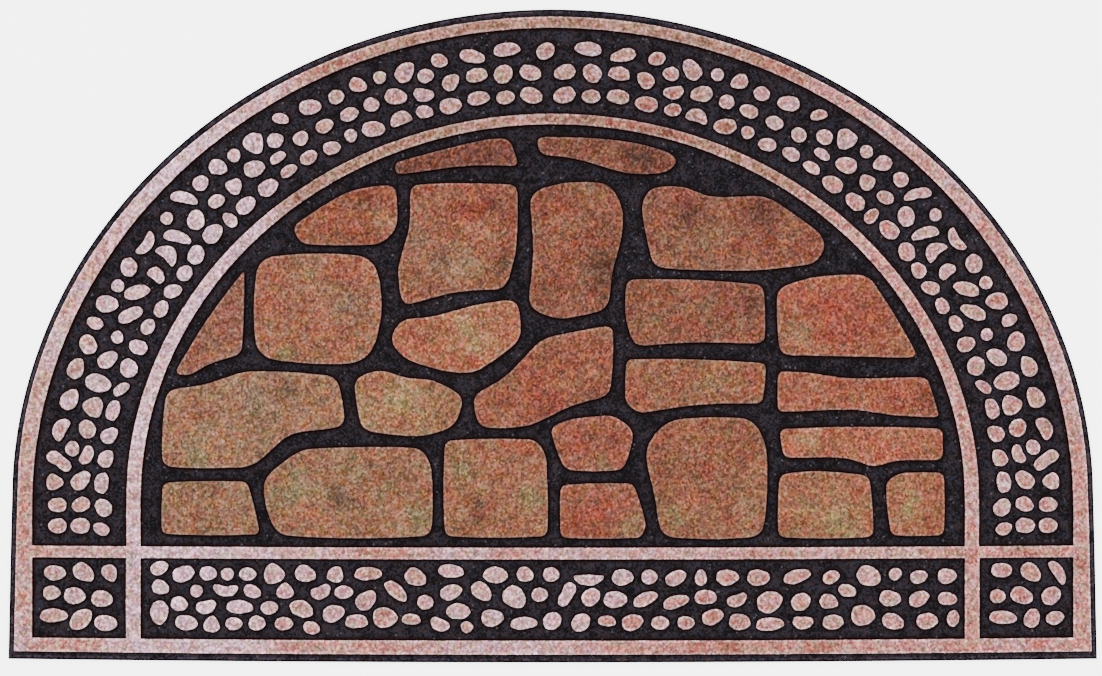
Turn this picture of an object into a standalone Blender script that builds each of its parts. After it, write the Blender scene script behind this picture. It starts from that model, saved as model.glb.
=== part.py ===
"""Half-round doormat: one rubber moulding with bands, flagstones and pebbles raised on it.

Sizes are in millimetres until a mesh is made. X runs along the straight edge, Y from that
edge towards the crown of the arch, and Z is up, with the underside at zero.
"""

import copy
import math
import random
from collections import namedtuple

import bmesh
import bpy

MM = 0.001

# The moulding
WIDTH = 762.0
DEPTH = 457.2
SLAB = 4.5
RELIEF = 3.0
SPRING_WIDTH = 757.0  # the mat is a little narrower where its legs turn into the arch
BASE_BOW = 2.6  # how far the ends of the straight edge lie above its middle
BOW_FADE = 230.0  # the height by which that bow has died out
RIM_CHAMFER = 1.6
DRAFT = 0.5  # a pebble's foot is this much wider than its top, all round
ROOT = 1.0  # how deep the raised shapes start inside the slab

# Each arched edge: how far it lies in from the edge of the mat, at the sides and at the crown, and
# the height above the straight edge where its legs turn into a half ellipse.
Arch = namedtuple("Arch", "side crown spring")
OUTLINE = Arch(0.0, 0.0, 112.5)
EDGE_BAND = (Arch(4.2, 5.2, 114.0), Arch(14.7, 13.3, 109.0))
ARCH_BAND = (Arch(80.4, 73.0, 113.5), Arch(90.5, 80.7, 113.5))
FOOT_BAND = (5.7, 15.7)
CROSS_BAND = (72.2, 80.7)
POST = (288.0, 298.5)

# Segments in each half ellipse
OUTLINE_STEPS = 46
BAND_STEPS = 38
LEVEL_STEP = 76.0  # longest segment of a level edge

# The pebble rows
PEBBLE_SIDES = 7
BENT_SIDES = 10
LEAN = 20.0  # degrees that each + or - in a chart turns a pebble
NUDGE = 2.0  # how far each ^ or , moves a pebble out from its row's line or in from it
TUCK = 8.5  # how far an apostrophe moves it in
GAP = 2.0  # least ground left between two pebbles
NEIGHBOUR = 24.0  # pebbles whose middles are farther apart than this can't touch
SETTLE_ROUNDS = 60
SIZE_SPREAD = 0.04
TURN_SPREAD = 5.0
SEED = 30

# Each kind of pebble: its size, how much one end narrows, how far its middle line bows, how far
# one long side is flattened, how much fuller or slimmer both ends are and how far it is turned.
Kind = namedtuple("Kind", "length width taper bow flat ends turn")
PEBBLES = {
    "s": Kind(9.8, 9.2, 0.10, 0.0, 0.0, 0.0, 20),
    "r": Kind(12.2, 11.4, 0.10, 0.0, 0.1, 0.0, 0),
    "R": Kind(14.4, 13.6, 0.08, 0.0, 0.1, 0.1, 40),
    "o": Kind(13.4, 9.8, 0.10, 0.0, 0.0, 0.0, 0),
    "O": Kind(16.2, 11.8, 0.12, 0.0, 0.0, 0.1, 0),
    "L": Kind(19.8, 11.4, 0.12, 0.0, 0.2, 0.1, 0),
    "u": Kind(12.2, 9.0, 0.12, 0.0, 0.0, 0.0, 90),
    "U": Kind(14.0, 11.6, 0.10, 0.0, 0.0, 0.1, 90),
    "T": Kind(18.6, 13.2, -0.15, 0.0, 0.0, 0.0, 90),
    "e": Kind(13.6, 11.4, 0.25, 0.0, 0.1, 0.0, 0),
    "E": Kind(16.4, 13.4, 0.20, 0.0, 0.1, 0.1, 0),
    "G": Kind(18.4, 16.4, 0.20, 0.0, 0.1, 0.1, 0),
    "d": Kind(13.0, 10.4, 0.00, 0.0, 0.4, 0.1, 0),
    "D": Kind(15.8, 13.8, 0.05, 0.0, 0.4, 0.2, 0),
    "h": Kind(14.0, 11.6, 0.00, 0.0, 0.4, 0.1, 90),
    "w": Kind(12.2, 12.2, 0.40, 0.0, 0.0, 0.1, 90),
    "W": Kind(15.0, 15.0, 0.40, 0.0, 0.0, 0.1, 90),
    "v": Kind(12.2, 12.2, -0.40, 0.0, 0.0, 0.1, 90),
    "V": Kind(15.6, 14.6, -0.40, 0.0, 0.0, 0.1, 90),
    "m": Kind(21.0, 13.4, 0.00, 0.0, 0.8, 0.0, 180),
    "l": Kind(18.6, 11.2, 0.05, 0.0, 0.0, -0.3, 0),
    "b": Kind(15.0, 10.0, 0.10, 1.4, 0.0, 0.2, 0),
    "c": Kind(18.4, 9.6, 0.00, 2.8, 0.0, 0.4, 0),
    "C": Kind(17.6, 11.4, 0.05, 4.2, 0.0, 0.2, 90),
    "q": Kind(14.0, 10.0, 0.00, 2.0, 0.0, 0.2, 90),
    "J": Kind(17.0, 11.0, 0.05, 2.4, 0.0, 0.2, 180),
    "j": Kind(20.0, 9.4, 0.15, -1.8, 0.0, 0.3, 0),
    "k": Kind(18.8, 11.6, -0.08, 0.6, 0.0, 0.5, 0),
}
BENT = "cCJjkm"

# The arch's rows, each at its height above the channel's middle line. A chart names the pebbles
# from the foot of the left leg to the crown, and @ gives the distance along the line where the
# next one stands. The right half mirrors them, spread a little more.
Row = namedtuple("Row", "height chart")
ARCH_ROWS = (
    Row(
        15.4,
        "@14 U U @44 v^ @58 k+++ r' @79 J-^ @100 E- @121 E^ R u^ @168 E--- s R @216 c"
        " @238 s @255 j---, r @286 e--- s @315 V, r' @338 d--^ @360 O- r, e-- s @428 E++, r' @452 o-"
        " @474 L-, @498 L @524 R,",
    ),
    Row(
        -1.0,
        "@14 U U+ @46 E-- b-, @83 R W @116 T @134 O-- s @169 L--, @185 L--^ @203 q, @219 C"
        " @233 j---^ R^ @270 o- w++ @305 E- @323 d,, @344 r+ o @382 o r- O- @436 b-,, @457 e++ D R @513 O-",
    ),
    Row(
        -17.0,
        "@12 u-^ R @45 D e- e-- @100 D d-- @134 R U @168 o o, o--, @216 r, @232 R- @252 E^ @268 u"
        " @284 O @305 O d @342 o^ o- @377 s^ @394 O- @415 J o- @453 O D o @513 O-",
    ),
)
RIGHT_STRETCH = 1.014

# The rows along the foot of the mat, each at its height above the straight edge and set out from
# the mat's centre line: four rows close together on the left, three on the right.
FOOT_ROWS = (
    Row(61.5, "@-275 o+^^ @-258 O+ r s @-213 o W+ @-173 E- w- @-129 L @-96 E-, @-71 L^ @-40 l e- @-1 r"),
    Row(
        49.5,
        "@-274 e-^ @-249 s @-228 c @-210 o- w @-162 b+ o @-130 E++,,, @-110 L-- @-71 O+ @-50 E--"
        " @-27 G--,, @-9 r,",
    ),
    Row(38.0, "@-275 T,, @-261 r^ @-242 b+ L @-198 o l- @-153 E+,, @-89 r^^ @-66 l,"),
    Row(
        27.0,
        "@-256 O w o @-207 r o @-169 o-, @-137 D @-117 G^^ @-99 d^ b- @-60 s, @-42 E^^ @-20 L @0 R^",
    ),
    Row(59.5, "@25 m^ @49 E r @86 O+ u O @144 O @171 L+ @195 o+ @221 G- s^ @256 o+ @276 e"),
    Row(
        44.0,
        "@10 k+++^^ @27 R^ @44 E @65 L+ L+, @107 D b+ @152 G+, R, @193 e-, @206 o-^^^ @236 E O+ @276 o",
    ),
    Row(28.0, "@20 R d @56 E+ o o @112 O+^^ @131 E @152 L, b @196 O @217 G^^ @238 O- @262 E @280 u^"),
)
CORNER_ROWS = (
    Row(61.4, "@-348 O @-328 E-- @-310 e---"),
    Row(45.0, "@-350 e^ @-334 E @-315 E,"),
    Row(28.6, "@-348 L^ @-329 l++ @-314 O,"),
    Row(61.6, "@314 O^ @334 E-- @353 j---"),
    Row(45.0, "@311 r @328 E- @349 R"),
    Row(29.6, "@315 L @335 U- @351 o+"),
)

# The flagstones, in courses from the crown down: how far from each corner its rounding starts,
# and the corners, from the mat's centre line and its straight edge.
Stone = namedtuple("Stone", "rounding corners")
FLAGSTONES = {
    "crown_left": Stone(
        6,
        ((-111, 350), (-45, 367), (-30, 367), (-23, 347), (-55, 348), (-110, 341)),
    ),
    "crown_right": Stone(
        6,
        (
            (-12, 368), (25, 368), (60, 364), (82, 357), (88, 351), (81, 343), (66, 341),
            (50, 342), (14, 353), (-9, 355),
        ),
    ),
    "left_wedge": Stone(
        9,
        ((-183, 305), (-142, 332), (-109, 335), (-108, 304), (-120, 292), (-176, 292)),
    ),
    "left_block": Stone(
        8,
        (
            (-100, 335), (-24, 335), (-25, 285), (-33, 261), (-66, 260), (-105, 249),
            (-110, 276), (-100, 302),
        ),
    ),
    "tall": Stone(
        11,
        (
            (-17, 329), (8, 337), (40, 336), (50, 318), (49, 298), (41, 270),
            (40, 247), (4, 239), (-18, 248), (-13, 288),
        ),
    ),
    "right_shoulder": Stone(
        9,
        (
            (61, 320), (68, 333), (92, 334), (108, 326), (150, 327), (172, 312),
            (188, 300), (191, 290), (184, 279), (140, 273), (70, 276),
        ),
    ),
    "left_shard": Stone(
        6,
        ((-215, 276), (-217, 216), (-242, 208), (-254, 200), (-265, 202), (-243, 240)),
    ),
    "left_square": Stone(
        18,
        ((-208, 285), (-124, 286), (-117, 246), (-128, 209), (-166, 208), (-209, 213)),
    ),
    "middle_left": Stone(
        10,
        (
            (-115, 226), (-106, 241), (-84, 242), (-55, 251), (-24, 255), (-21, 226),
            (-54, 202), (-75, 203), (-104, 212),
        ),
    ),
    "right_brick": Stone(
        8,
        ((51, 269), (148, 265), (149, 223), (96, 224), (57, 221), (50, 240)),
    ),
    "right_gable": Stone(
        9,
        ((156, 262), (182, 271), (221, 272), (257, 213), (200, 214), (158, 215)),
    ),
    "left_slab": Stone(
        10,
        (
            (-271, 191), (-240, 195), (-216, 205), (-150, 201), (-144, 165), (-184, 160),
            (-210, 136), (-274, 136),
        ),
    ),
    "left_cobble": Stone(
        9,
        (
            (-140, 199), (-120, 206), (-102, 199), (-84, 199), (-61, 186), (-68, 165),
            (-92, 157), (-134, 162),
        ),
    ),
    "diagonal": Stone(
        9,
        (
            (-57, 187), (-34, 199), (-8, 227), (10, 231), (43, 237), (41, 187),
            (10, 179), (-16, 164), (-52, 164),
        ),
    ),
    "right_strip": Stone(
        6,
        ((51, 213), (150, 210), (147, 181), (104, 181), (60, 174), (50, 182)),
    ),
    "far_strip": Stone(
        5,
        (
            (157, 204), (176, 204), (204, 199), (262, 200), (271, 171), (240, 172),
            (212, 177), (157, 175),
        ),
    ),
    "far_ledge": Stone(
        6,
        ((158, 164), (273, 164), (273, 141), (240, 141), (224, 136), (206, 143), (161, 143)),
    ),
    "small_cobble": Stone(8, ((-3, 165), (12, 171), (43, 174), (58, 162), (50, 134), (8, 134))),
    "foot_1": Stone(6, ((-273, 126), (-213, 127), (-204, 89), (-274, 89))),
    "foot_2": Stone(
        10,
        ((-203, 129), (-176, 150), (-92, 151), (-84, 138), (-84, 88), (-192, 88), (-201, 106)),
    ),
    "foot_3": Stone(7, ((-76, 156), (-12, 157), (-4, 146), (-3, 88), (-76, 88))),
    "foot_4": Stone(6, ((5, 125), (57, 126), (66, 96), (62, 87), (5, 87))),
    "foot_5": Stone(
        13,
        ((63, 150), (80, 171), (140, 172), (151, 150), (148, 87), (75, 87), (72, 112)),
    ),
    "foot_6": Stone(7, ((158, 132), (184, 135), (222, 131), (225, 87), (157, 87))),
    "foot_7": Stone(6, ((232, 126), (242, 133), (274, 133), (274, 88), (236, 88))),
}
SHARP_TURN = 32.0  # degrees; a corner that turns less is rounded along its whole sides
CORNER_STEPS = 3

HALF = WIDTH / 2
TOP = SLAB + RELIEF


def half_ellipse(arch, steps):
    """From the right spring of an arched edge over the crown to the left one."""
    half_width = SPRING_WIDTH / 2 - arch.side
    rise = DEPTH - arch.crown - arch.spring
    turns = [math.pi * step / steps for step in range(steps + 1)]
    return [(half_width * math.cos(t), arch.spring + rise * math.sin(t)) for t in turns]


def level(start, end, height):
    """Points along a level edge, close enough together to follow its bow."""
    steps = math.ceil(abs(end - start) / LEVEL_STEP)
    return [(start + (end - start) * step / steps, height) for step in range(steps + 1)]


def arch_loop(arch, foot, half_foot, steps):
    """A closed arch that stands on a level line, as wide there as twice half_foot."""
    return half_ellipse(arch, steps) + level(-half_foot, half_foot, foot)


def box_loop(left, right, low, high):
    return level(left, right, low) + level(right, left, high)


def laid(x, y):
    """A point measured from the straight edge, laid where the mat's middle is at zero."""
    bow = BASE_BOW * (x / HALF) ** 2 * max(0.0, 1 - y / BOW_FADE)
    return x, y + bow - DEPTH / 2


def unit(start, end):
    length = math.dist(start, end)
    return (end[0] - start[0]) / length, (end[1] - start[1]) / length


def rounded(stone):
    """A stone's outline with every corner eased by a short curve."""
    outline = []
    corners = stone.corners
    for index, corner in enumerate(corners):
        before, after = corners[index - 1], corners[(index + 1) % len(corners)]
        arriving, leaving = unit(before, corner), unit(corner, after)
        turn = math.degrees(math.acos(arriving[0] * leaving[0] + arriving[1] * leaving[1]))
        room = 0.5 * min(math.dist(before, corner), math.dist(corner, after))
        reach = min(room, stone.rounding if turn > SHARP_TURN else room)
        steps = CORNER_STEPS if turn > SHARP_TURN else 2
        for step in range(steps + 1):
            t = step / steps
            back, ahead = reach * (1 - t) ** 2, reach * t**2
            outline.append(
                (
                    corner[0] - arriving[0] * back + leaving[0] * ahead,
                    corner[1] - arriving[1] * back + leaving[1] * ahead,
                )
            )
    return [p for p, q in zip(outline, outline[1:] + outline[:1]) if math.dist(p, q) > 0.3]


def channel_path():
    """Points up the middle of the arch's channel, from the left foot to the crown."""
    middle = Arch(*[(inner + outer) / 2 for inner, outer in zip(EDGE_BAND[1], ARCH_BAND[0])])
    over = half_ellipse(middle, 4 * OUTLINE_STEPS)
    left_quarter = over[: 2 * OUTLINE_STEPS - 1 : -1]
    return [(left_quarter[0][0], CROSS_BAND[1])] + left_quarter


def place_on(path, distance, height):
    """A point beside a path, and the direction in degrees in which the path runs there."""
    for start, end in zip(path, path[1:]):
        span = math.dist(start, end)
        if distance <= span or end == path[-1]:
            along = unit(start, end)
            x = start[0] + along[0] * distance - along[1] * height
            y = start[1] + along[1] * distance + along[0] * height
            return x, y, math.degrees(math.atan2(along[1], along[0]))
        distance -= span


def pebble_point(kind, x, y):
    """A point of the unit circle, moved onto a pebble's outline."""
    half_width = kind.width / 2 * (1 - kind.taper * x) * (1 + kind.ends * (x * x - 0.5))
    across = y * half_width * (1 - kind.flat if y < 0 else 1)
    across += kind.bow * (x * x - 0.4) + kind.flat * kind.width / 8
    turn = math.radians(kind.turn)
    along = x * kind.length / 2
    return (
        along * math.cos(turn) - across * math.sin(turn),
        along * math.sin(turn) + across * math.cos(turn),
    )


class Pebble:
    """One pebble's kind, turn and size, and where it lies."""

    def __init__(self, word, row_height, chance):
        kind = PEBBLES[word[0]]
        self.sides = BENT_SIDES if word[0] in BENT else PEBBLE_SIDES
        self.turn = LEAN * (word.count("+") - word.count("-")) + chance.uniform(-1, 1) * TURN_SPREAD
        size = 1 + chance.uniform(-1, 1) * SIZE_SPREAD
        stretch = 1 + chance.uniform(-1, 1) * SIZE_SPREAD / 2
        self.kind = kind._replace(length=kind.length * size * stretch, width=kind.width * size / stretch)
        self.tucked = "'" in word
        self.height = row_height + NUDGE * (word.count("^") - word.count(","))
        self.height -= TUCK if self.tucked else 0.0
        self.x = self.y = self.heading = self.distance = 0.0
        self.side = 1

    def outline_point(self, x, y, grow=1.0):
        """A point of the unit circle, moved onto this pebble where it lies."""
        along, across = pebble_point(self.kind, x, y)
        turn = math.radians(self.turn + self.heading)
        dx = grow * (along * math.cos(turn) - across * math.sin(turn))
        dy = grow * (along * math.sin(turn) + across * math.cos(turn))
        return self.x + self.side * dx, self.y + dy

    def reach(self, direction):
        """How far the pebble reaches from its middle in a direction."""
        turns = [math.tau * (step + 0.5) / self.sides for step in range(self.sides)]
        ring = [self.outline_point(math.cos(t), math.sin(t)) for t in turns]
        return max((x - self.x) * direction[0] + (y - self.y) * direction[1] for x, y in ring)

    def lie(self, path, distance):
        self.distance = distance
        self.x, self.y, self.heading = place_on(path, distance, self.height)

    def twin(self, path):
        """The same pebble on the mat's right half."""
        other = copy.copy(self)
        other.lie(path, self.distance * RIGHT_STRETCH)
        other.x, other.side = -other.x, -1
        return other


def laid_row(row, path, chance):
    """A row's pebbles along a path, with even gaps between those whose places are given."""
    pebbles, places = [], {}
    for word in row.chart.split():
        if word[0] == "@":
            places[len(pebbles)] = float(word[1:])
        else:
            pebbles.append(Pebble(word, row.height, chance))
    ahead = [pebble.reach((1, 0)) for pebble in pebbles]
    behind = [pebble.reach((-1, 0)) for pebble in pebbles]
    given = sorted(places)
    for first, last in zip(given, given[1:]):
        in_line = [index for index in range(first + 1, last) if not pebbles[index].tucked]
        edge = places[first] + ahead[first]
        spans = sum(ahead[index] + behind[index] for index in in_line)
        gap = (places[last] - behind[last] - edge - spans) / (len(in_line) + 1)
        for index in range(first + 1, last):
            if index in in_line:
                places[index] = edge + gap + behind[index]
                edge = places[index] + ahead[index]
            else:
                places[index] = edge + gap / 2
    for index, pebble in enumerate(pebbles):
        pebble.lie(path, places[index])
    return pebbles


def settled(pebbles):
    """The pebbles, nudged apart until there is ground between every two."""
    for _ in range(SETTLE_ROUNDS):
        for index, first in enumerate(pebbles):
            for second in pebbles[index + 1 :]:
                apart = math.dist((first.x, first.y), (second.x, second.y))
                if apart > NEIGHBOUR:
                    continue
                way = unit((first.x, first.y), (second.x, second.y))
                short = first.reach(way) + second.reach((-way[0], -way[1])) + GAP - apart
                if short > 0:
                    first.x -= way[0] * short / 2
                    first.y -= way[1] * short / 2
                    second.x += way[0] * short / 2
                    second.y += way[1] * short / 2
    return pebbles


def arch_pebbles(chance):
    path = channel_path()
    left = [pebble for row in ARCH_ROWS for pebble in laid_row(row, path, chance)]
    crown = max(left, key=lambda pebble: pebble.distance)
    right = [pebble.twin(path) for pebble in left if pebble is not crown]
    return settled(left + right)


def level_pebbles(rows, chance):
    """Pebbles in level rows set out from the mat's centre line."""
    line = [(0.0, 0.0), (HALF, 0.0)]
    return settled([pebble for row in rows for pebble in laid_row(row, line, chance)])


def all_pebbles():
    chance = random.Random(SEED)
    return arch_pebbles(chance) + level_pebbles(FOOT_ROWS, chance) + level_pebbles(CORNER_ROWS, chance)


def plate(name, loops, bottom, top):
    """A flat plate between two heights, as a mesh object; loops inside another are its holes."""
    loops = [[laid(x, y) for x, y in loop] for loop in loops]
    curve = bpy.data.curves.new(name, "CURVE")
    curve.dimensions = "2D"
    curve.fill_mode = "BOTH"
    curve.extrude = (top - bottom) / 2 * MM
    for loop in loops:
        spline = curve.splines.new("POLY")
        spline.points.add(len(loop) - 1)
        spline.use_cyclic_u = True
        for point, (x, y) in zip(spline.points, loop):
            point.co = (x * MM, y * MM, 0, 1)
    drawn = bpy.data.objects.new(name, curve)
    drawn.location.z = (top + bottom) / 2 * MM
    bpy.context.scene.collection.objects.link(drawn)
    bpy.context.view_layer.update()
    graph = bpy.context.evaluated_depsgraph_get()
    mesh = bpy.data.meshes.new_from_object(drawn.evaluated_get(graph))
    mesh.transform(drawn.matrix_world)
    welder = bmesh.new()
    welder.from_mesh(mesh)
    bmesh.ops.remove_doubles(welder, verts=welder.verts, dist=0.00001)
    bmesh.ops.recalc_face_normals(welder, faces=welder.faces)
    welder.to_mesh(mesh)
    welder.free()
    bpy.data.objects.remove(drawn)
    bpy.data.curves.remove(curve)
    return bpy.data.objects.new(name, mesh)


def make_slab():
    slab = plate("mat", [arch_loop(OUTLINE, 0, HALF, OUTLINE_STEPS)], 0, SLAB)
    shape = bmesh.new()
    shape.from_mesh(slab.data)
    upper = [
        edge
        for edge in shape.edges
        if all(vert.co.z > SLAB / 2 * MM for vert in edge.verts) and edge.calc_face_angle() > 1
    ]
    bmesh.ops.bevel(shape, geom=upper, offset=RIM_CHAMFER * MM, segments=1, affect="EDGES")
    shape.to_mesh(slab.data)
    shape.free()
    return slab


def make_bands():
    """The raised border: the edge band, the arch band, the cross band and two short posts."""
    low, high = CROSS_BAND
    corner = SPRING_WIDTH / 2 - EDGE_BAND[1].side
    channel_foot = ARCH_BAND[0].side - SPRING_WIDTH / 2
    arch_foot = SPRING_WIDTH / 2 - ARCH_BAND[1].side
    outer_side = half_ellipse(EDGE_BAND[1], BAND_STEPS)
    inner_side = half_ellipse(ARCH_BAND[0], BAND_STEPS)[::-1]
    left_foot = level(-corner, channel_foot, high)
    right_foot = level(-channel_foot, corner, high)
    loops = [
        arch_loop(EDGE_BAND[0], FOOT_BAND[0], HALF - EDGE_BAND[0].side, BAND_STEPS),
        outer_side + left_foot + inner_side + right_foot,
        arch_loop(ARCH_BAND[1], high, arch_foot, BAND_STEPS),
        box_loop(-POST[0], POST[0], FOOT_BAND[1], low),
        box_loop(-corner, -POST[1], FOOT_BAND[1], low),
        box_loop(POST[1], corner, FOOT_BAND[1], low),
    ]
    return plate("raised_bands", loops, SLAB - ROOT, TOP)


def make_flagstones():
    return plate("raised_flagstones", [rounded(s) for s in FLAGSTONES.values()], SLAB - ROOT, TOP)


def make_pebbles():
    """All the pebbles as short drafted studs."""
    studs = bmesh.new()
    for pebble in all_pebbles():
        made = bmesh.ops.create_cone(
            studs, cap_ends=True, segments=pebble.sides, radius1=1, radius2=1, depth=1
        )
        for vert in made["verts"]:
            at_top = vert.co.z > 0
            grow = 1.0 if at_top else 1 + 2 * DRAFT / pebble.kind.width
            x, y = laid(*pebble.outline_point(vert.co.x, vert.co.y, grow))
            vert.co = (x * MM, y * MM, (TOP if at_top else SLAB - ROOT) * MM)
    bmesh.ops.recalc_face_normals(studs, faces=studs.faces)
    mesh = bpy.data.meshes.new("raised_pebbles")
    studs.to_mesh(mesh)
    studs.free()
    return bpy.data.objects.new("raised_pebbles", mesh)


def rubber():
    material = bpy.data.materials.new("black rubber")
    material.use_nodes = True
    shader = material.node_tree.nodes["Principled BSDF"]
    shader.inputs["Base Color"].default_value = (0.022, 0.021, 0.024, 1)
    shader.inputs["Roughness"].default_value = 0.8
    shader.inputs["Metallic"].default_value = 0.0
    return material


def main():
    for thing in list(bpy.data.objects):
        bpy.data.objects.remove(thing)
    parts = bpy.data.collections.new("half_round_doormat")
    helpers = bpy.data.collections.new("raised shapes")
    for collection in (parts, helpers):
        bpy.context.scene.collection.children.link(collection)

    mat = make_slab()
    parts.objects.link(mat)
    mat.data.materials.append(rubber())
    mat.data.shade_smooth()
    mat.data.set_sharp_from_angle(angle=math.radians(30))
    for raised in (make_bands(), make_flagstones(), make_pebbles()):
        helpers.objects.link(raised)
        raised.hide_render = True
        raised.display_type = "WIRE"
        join = mat.modifiers.new("add " + raised.name, "BOOLEAN")
        join.operation = "UNION"
        join.object = raised


main()
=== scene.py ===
"""Looks of the half-round doormat: charcoal rubber with flocked bands, pebbles and flagstones.

The frame's one node gives every outline. Each is rounded here, its edge made fibrous, and raised
again as a moulding of fine rubber with a crowned cap of flock on each raised shape. Lengths are in
millimetres until a mesh is made.
"""

import math
import random
from collections import namedtuple

import bpy
import numpy as np
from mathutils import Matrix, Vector, noise
from mathutils.geometry import delaunay_2d_cdt
from mathutils.kdtree import KDTree


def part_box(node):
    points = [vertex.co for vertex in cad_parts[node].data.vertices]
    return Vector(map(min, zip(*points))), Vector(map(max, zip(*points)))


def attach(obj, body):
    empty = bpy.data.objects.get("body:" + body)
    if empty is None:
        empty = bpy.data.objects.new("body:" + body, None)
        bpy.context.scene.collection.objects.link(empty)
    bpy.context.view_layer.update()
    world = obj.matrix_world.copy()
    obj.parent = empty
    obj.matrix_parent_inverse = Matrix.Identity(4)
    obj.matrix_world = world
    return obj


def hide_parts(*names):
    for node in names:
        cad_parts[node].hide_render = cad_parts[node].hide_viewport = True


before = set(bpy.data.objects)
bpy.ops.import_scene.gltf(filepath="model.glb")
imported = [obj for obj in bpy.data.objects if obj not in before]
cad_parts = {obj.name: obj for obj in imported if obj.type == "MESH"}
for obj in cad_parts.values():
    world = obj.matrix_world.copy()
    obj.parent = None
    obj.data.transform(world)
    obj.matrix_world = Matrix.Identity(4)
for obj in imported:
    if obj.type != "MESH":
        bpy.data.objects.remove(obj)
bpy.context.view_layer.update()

MM = 0.001
NODE = "mat"

# The levels of the frame's node
LOW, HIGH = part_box(NODE)
TOP = HIGH.z / MM
GROUND = 4.5  # the slab's face between the raised shapes
UNDERSIDE = LOW.z / MM
LEVEL_TOLERANCE = 0.02

# What tells the raised shapes apart: the area of their tops, and where the pebbles lie
FLAGSTONE_AREA = 600.0
BASE_STRIP_TOP = -148.0
POST_X = 293.0

# How an outline is rounded and drawn anew
BAND_CORNER = 35.0  # degrees; a band's outline keeps its corners where it turns more
LONGEST_PULL = 10.0  # a longer span pulls the curve at its ends no more than this one
PEBBLE_ROUNDING = 0.75  # how far a pebble's corners pull its curve, a stone's being 1
SPAN_POINTS = 12  # the points of a curve from one corner to the next
FLOCK_STEP = 1.3
RUBBER_STEP = 2.0
SAMPLE_STEP = 0.5  # between the places whose distance from other outlines is measured
FEWEST_STEPS = 4
SHORT_EDGE = 0.02
WELD = 0.000001
STONE_INSET = 0.25

# A pebble's outline has lumps, but it never goes further out than the frame's
LUMP = 0.8
LUMP_LENGTH = 7.0
LUMP_LAYER = 9.0
PEBBLE_INSET = 0.02
LEAST_INSET = 0.02

# How an outline is inset or widened without a fold
SHARPEST = 1.5  # how much further out a corner may go than the sides beside it
LEAST_STEP = 0.3  # how short the spans of an inset outline may become, of what they were
MOVE_TRIES = 60
MOVE_CUT = 0.8  # what is left of the move at a crowded place after each try

# How fibrous the edge of the flock is: a slow wander and a fine fray
WANDER = 0.16
WANDER_LENGTH = 7.0
FRAY = 0.13
FRAY_LENGTH = 1.6
FRAY_LAYER = 5.0

# Cross-sections, from step to step: the distance out from the outline, the height and how fully the
# step takes painted light, which is a painted highlight on the rim of the flock and painted shade
# at the foot of a wall
Ring = namedtuple("Ring", "out height edge", defaults=(0.0,))
# Its first step, at the wall's foot, lies fully in the painted shade
RUBBER_WALL = (
    Ring(0.55, GROUND, 1.0),
    Ring(0.0, GROUND + 0.3),
    Ring(-0.30, GROUND + 0.9),
    Ring(-0.45, TOP - 1.0),
    Ring(-0.80, TOP - 0.75),
)
RUBBER_RIM = (
    Ring(-0.5, UNDERSIDE),
    Ring(0.0, UNDERSIDE + 0.5),
    Ring(0.0, GROUND - 1.5),
    Ring(-0.25, GROUND - 0.7),
    Ring(-0.75, GROUND - 0.2),
    Ring(-1.35, GROUND),
    Ring(-2.9, GROUND),
)
SKIRT = 5  # the span of the rim's section that is a paler strip of rubber: a painted highlight
# Its middle steps carry the painted highlight on the rim of the cap
FLOCK_CAP = (
    Ring(-0.60, TOP - 1.45),
    Ring(-0.20, TOP - 1.15),
    Ring(-0.15, TOP - 0.75, 0.6),
    Ring(-0.32, TOP - 0.38, 1.0),
    Ring(-0.70, TOP - 0.14, 1.0),
    Ring(-1.20, TOP - 0.04, 0.85),
    Ring(-1.90, TOP - 0.01),
)
SLENDER = 0.85  # a cap's deepest inset, in the area over the length of its outline

# The slots of the moulding's materials: the walls' slot is in painted shade, and one strip of the
# rim is a painted highlight
FIELD, WALLS, RIM_HIGHLIGHT, RIM = range(4)

# Painted shade: the ground darkens towards the foot of each wall, over a strip that is narrower
# where two are near
FOOT = RUBBER_WALL[0].out
FOOT_SHARE = 0.4  # the most that one foot takes of the gap to the next wall
STRIP = 2.7
STRIP_SHARE = 0.33  # the most that one strip takes of what two feet leave
LEAST_STRIP = 0.02

# The top of the flock swells and sinks a little, on spots that lie in rows a step apart
PILE_STEP = 3.6
ROW_PITCH = 0.87  # this and the next two are shares of the step
SPOT_JITTER = 0.2
EDGE_MARGIN = 0.6
PILE_SWELL = 0.14
PILE_SWELL_LENGTH = 14.0
PILE_TOP = TOP + 0.02

# What is drawn by chance, and between which bounds
SEED = 12
SALTS = (0, 99)  # a salt is the layer of noise that frays one outline
PEBBLE_LEANS = (-0.02, 0.22)
PEBBLE_DULLS = (-0.1, 0.14)

# The same notes where they are fixed
BAND_SALT = 1.0
BAND_LEAN = 0.19
PALE_BRIGHT = 0.93


# Outlines


def flat_loops(mesh, height):
    """The closed outlines of the faces at a height, each with its faces on the left."""
    points = np.array([v.co for v in mesh.vertices]) / MM
    keys = {}
    merged = [keys.setdefault(tuple(p), len(keys)) for p in np.round(points, 3)]
    places = list(keys)
    after = {}
    mesh.calc_loop_triangles()
    for triangle in mesh.loop_triangles:
        corners = [merged[i] for i in triangle.vertices]
        level = all(abs(places[i][2] - height) <= LEVEL_TOLERANCE for i in corners)
        if not level or len(set(corners)) < 3:
            continue
        for start, end in zip(corners, corners[1:] + corners[:1]):
            if (end, start) in after:
                del after[(end, start)]
            else:
                after[(start, end)] = True
    step = dict(after.keys())
    loops = []
    while step:
        start, here = step.popitem()
        loop = [places[start][:2]]
        while here != start:
            loop.append(places[here][:2])
            here = step.pop(here)
        loops.append(np.array(loop))
    return sorted(loops, key=lambda loop: tuple(loop.mean(0).round(2)))


def area(loop):
    x, y = loop[:, 0], loop[:, 1]
    return 0.5 * float(np.sum(x * np.roll(y, -1) - np.roll(x, -1) * y))


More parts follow.
